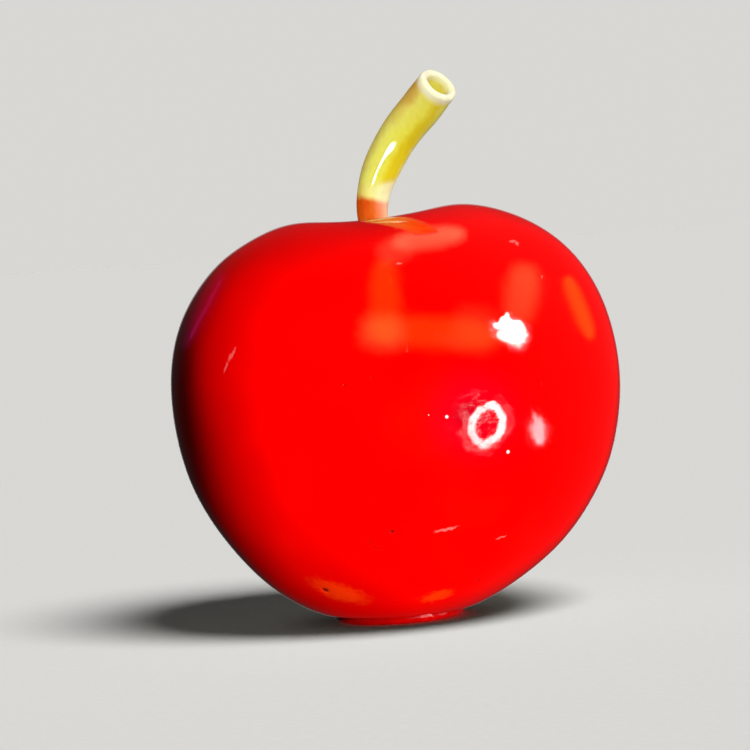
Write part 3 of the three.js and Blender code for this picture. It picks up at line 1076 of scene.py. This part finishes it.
def glossy_only(made):
    """A card that only reflections see."""
    made.visible_camera = False
    made.visible_diffuse = False
    made.visible_transmission = False
    made.visible_volume_scatter = False
    made.visible_shadow = False
    made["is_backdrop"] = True


def glow(name, colour, strength):
    look = Look(name)
    level = look.attribute("level")
    power = look.times(level, strength)
    light = look.node("ShaderNodeEmission", {"Color": (*colour, 1), "Strength": power})
    clear = look.node("ShaderNodeBsdfTransparent")
    both = look.node("ShaderNodeAddShader", {0: light.outputs[0], 1: clear.outputs[0]})
    look.node("ShaderNodeOutputMaterial", {"Surface": both.outputs[0]})
    return look.owner


def card(name, tree, loops, levels, colour, strength, distance=SHARP_CARD_AWAY):
    """A glowing card whose reflection has these outlines. Each loop is a list of points of the
    view, from the outside inwards, with how brightly the card glows there. A point that misses
    the fruit is drawn towards its loop's middle."""
    vertices = []
    for loop in loops:
        middle = [sum(values) / len(loop) for values in zip(*loop)]
        for point in loop:
            place, normal = seen_at(tree, *point)
            while place is None:
                point = [0.9 * p + 0.1 * m for p, m in zip(point, middle)]
                place, normal = seen_at(tree, *point)
            vertices.append(place + mirrored(place, normal) * distance)
    around = len(loops[0])
    faces = ring_faces(len(loops), around)
    if levels[-1] > 0:
        faces.append(tuple(range((len(loops) - 1) * around, len(loops) * around)))
    made = mesh_object(name, vertices, faces, glow(name, colour, strength))
    layer = made.data.attributes.new("level", "FLOAT", "POINT")
    layer.data.foreach_set("value", [level for level in levels for _ in range(around)])
    glossy_only(made)


def oval(across, up, half_width, half_height, tilt=0.0, count=28, shape=2.0, wobble=0.0, seed=0):
    """Points round an oval of the view. A higher shape makes it more of a rectangle."""
    points = []
    for angle in turns(count):
        c, s = math.cos(angle), math.sin(angle)
        power = 2 / shape
        x = half_width * math.copysign(abs(c) ** power, c)
        y = half_height * math.copysign(abs(s) ** power, s)
        uneven_by = 1 + wobble * noise.noise(Vector((2.2 * c + seed, 2.2 * s, seed)))
        x, y = x * uneven_by, y * uneven_by
        turn = math.radians(tilt)
        points.append((
            across + x * math.cos(turn) + y * math.sin(turn),
            up - x * math.sin(turn) + y * math.cos(turn),
        ))
    return points


def soft_oval(across, up, half_width, half_height, fade, **shape):
    """Loops of an oval whose edge fades over a width in mm."""
    moves = [fade / 2 - fade * step / FADE_STEPS for step in range(FADE_STEPS + 1)]
    return [oval(across, up, half_width + move, half_height + move, **shape) for move in moves]


def make_reflections(skin_tree):
    ring = [
        oval(*RING_AT, wide, high, tilt=RING_TILT, count=40, wobble=0.22, seed=3)
        for wide, high in RING_SIZES
    ]
    card("card_ring", skin_tree, ring, (0.0, 1.0, 1.0, 0.0), WHITE, 27)
    blob = soft_oval(10.95, 3.45, 1.38, 0.92, 0.12, tilt=38, count=40, shape=3.0, wobble=0.7, seed=9)
    card("card_blob", skin_tree, blob, SOFT_LEVELS, WHITE, 34)
    small = soft_oval(13.05, -4.45, 0.5, 1.15, 0.5, tilt=-8, wobble=0.4, seed=5)
    card("card_small", skin_tree, small, SOFT_LEVELS, BLUSH, 12)
    for name, place_and_size, strength, fade, tilt, colour in GLOWS:
        loops = soft_oval(*place_and_size, fade, shape=2.6, tilt=tilt)
        card(name, skin_tree, loops, SOFT_LEVELS, colour, strength, SOFT_CARD_AWAY)


def stem_glint(tube):
    """A light that only the stem's gloss shows, long across the tube so that its mark is broad."""
    across, up = GLINT_AT
    tree = tree_of(tube)
    place, normal = seen_at(tree, across, up)
    middle = mirrored(place, normal)
    turn = math.radians(GLINT_TILT)
    ends = []
    for probe in (-GLINT_PROBE, GLINT_PROBE):
        beside = seen_at(tree, across + probe * math.cos(turn), up + probe * math.sin(turn))
        ends.append(mirrored(*beside))
    wide = ends[1] - ends[0]
    wide = (wide - middle * wide.dot(middle)).normalized()
    data = bpy.data.lights.new("glint_on_stem", "AREA")
    data.shape = "RECTANGLE"
    data.size, data.size_y = GLINT_SIZE
    data.energy = GLINT_POWER
    made = add_object("glint_on_stem", data)
    made.matrix_world = axes_at(wide, middle.cross(wide), middle, place + middle * GLINT_AWAY)
    made.visible_diffuse = False
    made.visible_camera = False
    made.light_linking.receiver_collection = collection_of("lit_stem", [tube])


# ---------------------------------------------------------------- lights

def collection_of(name, objects):
    made = bpy.data.collections.new(name)
    for item in objects:
        made.objects.link(item)
    return made


def sun(name, azimuth, elevation, strength, spread, colour, lit, shading=None):
    """A soft directional light from an azimuth right of the front. Reflections don't show it."""
    data = bpy.data.lights.new(name, "SUN")
    data.energy = strength
    data.angle = math.radians(spread)
    data.color = colour
    made = add_object(name, data)
    a, e = math.radians(azimuth), math.radians(elevation)
    towards = Vector((math.sin(a) * math.cos(e), -math.cos(a) * math.cos(e), math.sin(e)))
    made.rotation_mode = "QUATERNION"
    made.rotation_quaternion = towards.to_track_quat("Z", "Y")
    made.visible_glossy = False
    made.light_linking.receiver_collection = lit
    if shading is not None:
        made.light_linking.blocker_collection = shading


def make_lights(skin, plug, floor):
    """A strong light for the fruit, gentler ones for the other pieces, and one for the floor."""
    fruit = collection_of("lit_fruit", [skin, plug])
    others = collection_of("lit_others", [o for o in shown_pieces() if o not in (skin, plug)])
    ground = collection_of("lit_floor", [floor])
    pieces = collection_of("shading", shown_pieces())
    for rise in (-KEY_RISE, KEY_RISE):
        elevation = KEY_ELEVATION + rise
        sun("key_on_fruit", KEY_AZIMUTH, elevation, 4.6, 14, (1, 0.97, 0.93), fruit, pieces)
    sun("key_on_others", KEY_AZIMUTH, 15, 2.6, 30, (1, 0.98, 0.95), others)
    sun("fill_on_others", -50, 20, 2.2, 90, (1, 0.98, 0.95), others)
    sun("side_on_others", 100, 10, 1.4, 90, (1, 0.98, 0.95), others)
    sun("back_on_fruit", 172, 25, 5.0, 30, (1, 0.98, 0.96), fruit)
    sun("back_on_others", 172, 25, 1.6, 60, (1, 0.98, 0.96), others)
    sun("light_on_floor", 40, 55, 3.05, 30, (1, 0.99, 0.97), ground)


# ---------------------------------------------------------------- floor and world

def make_floor():
    """A plain floor, a hair below the plug's flat. Reflections don't show it."""
    look = Look("pale_floor")
    at = look.place()
    grain = look.noise(at, 1.5, 4.0)
    colour = look.ramp(grain, [(0.2, (0.80, 0.80, 0.79, 1)), (0.8, (0.84, 0.84, 0.83, 1))])
    material = look.surface(Base_Color=colour, Roughness=0.9, Specular_IOR_Level=0.0)
    half = FLOOR_SIZE / 2
    square = ((-half, -half), (half, -half), (half, half), (-half, half))
    corners = [(x, y, -FLOOR_DROP) for x, y in square]
    floor = mesh_object("floor", corners, [(0, 1, 2, 3)], material)
    floor.visible_glossy = False
    floor.visible_diffuse = False
    floor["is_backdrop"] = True
    return floor


# The world's tone and strength for the camera and for diffuse light, and its tone in reflections,
# with the direction in which it is paler there.
WORLD_SEEN = ((1.0, 0.99, 0.96, 1), FLOOR_TONE)
WORLD_AMBIENT = ((1, 1, 1, 1), 0.045)
WORLD_MIRRORED = (1, 0.96, 0.98, 1)
WORLD_PALER_WAY = (0.55, 0.7, 0.45)


def make_world():
    """Pale to the eye, dim as ambient light, and dark in reflections except towards the back."""
    look = Look("studio", bpy.data.worlds)
    SCENE.world = look.owner
    path = look.node("ShaderNodeLightPath").outputs
    towards = look.node("ShaderNodeTexCoord").outputs["Generated"]

    def background(tone, strength):
        return look.node("ShaderNodeBackground", {"Color": tone, "Strength": strength}).outputs[0]

    def choose(share, first, second):
        return look.node("ShaderNodeMixShader", {0: share, 1: first, 2: second}).outputs[0]

    along = look.vector("DOT_PRODUCT", towards, WORLD_PALER_WAY)
    paler = look.between(along, 0.1, 1.0, 0.002, 0.045, kind="LINEAR")
    # Straight behind the fruit it is pale, which softens the line round the fruit's edge.
    palest = look.between(look.parts(towards)["Y"], 0.965, 1.0, 0.0, 0.40)
    mirrored_world = background(WORLD_MIRRORED, look.maths("ADD", paler, palest))
    unseen = choose(path["Is Glossy Ray"], background(*WORLD_AMBIENT), mirrored_world)
    whole = choose(path["Is Camera Ray"], unseen, background(*WORLD_SEEN))
    look.node("ShaderNodeOutputWorld", {"Surface": whole})


# ---------------------------------------------------------------- build

skin = fruit_skin()
# Its bounced light would turn the floor red.
skin.visible_diffuse = False
tube = stem_tube()
stem_cement()
finish_cad_node("stem_peg", satin_red("peg_red", *PEG_REDS), 0.06)
finish_cad_node("base_plug", satin_red("plug_red", *PLUG_REDS), 0.10)
finish_cad_node("base_card", grey_card(), 0.05)
wadding()
calico_bag()
bag_tie()
sawdust_core()
floor = make_floor()
make_world()
make_reflections(tree_of(skin))
stem_glint(tube)
make_lights(skin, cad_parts["base_plug"], floor)
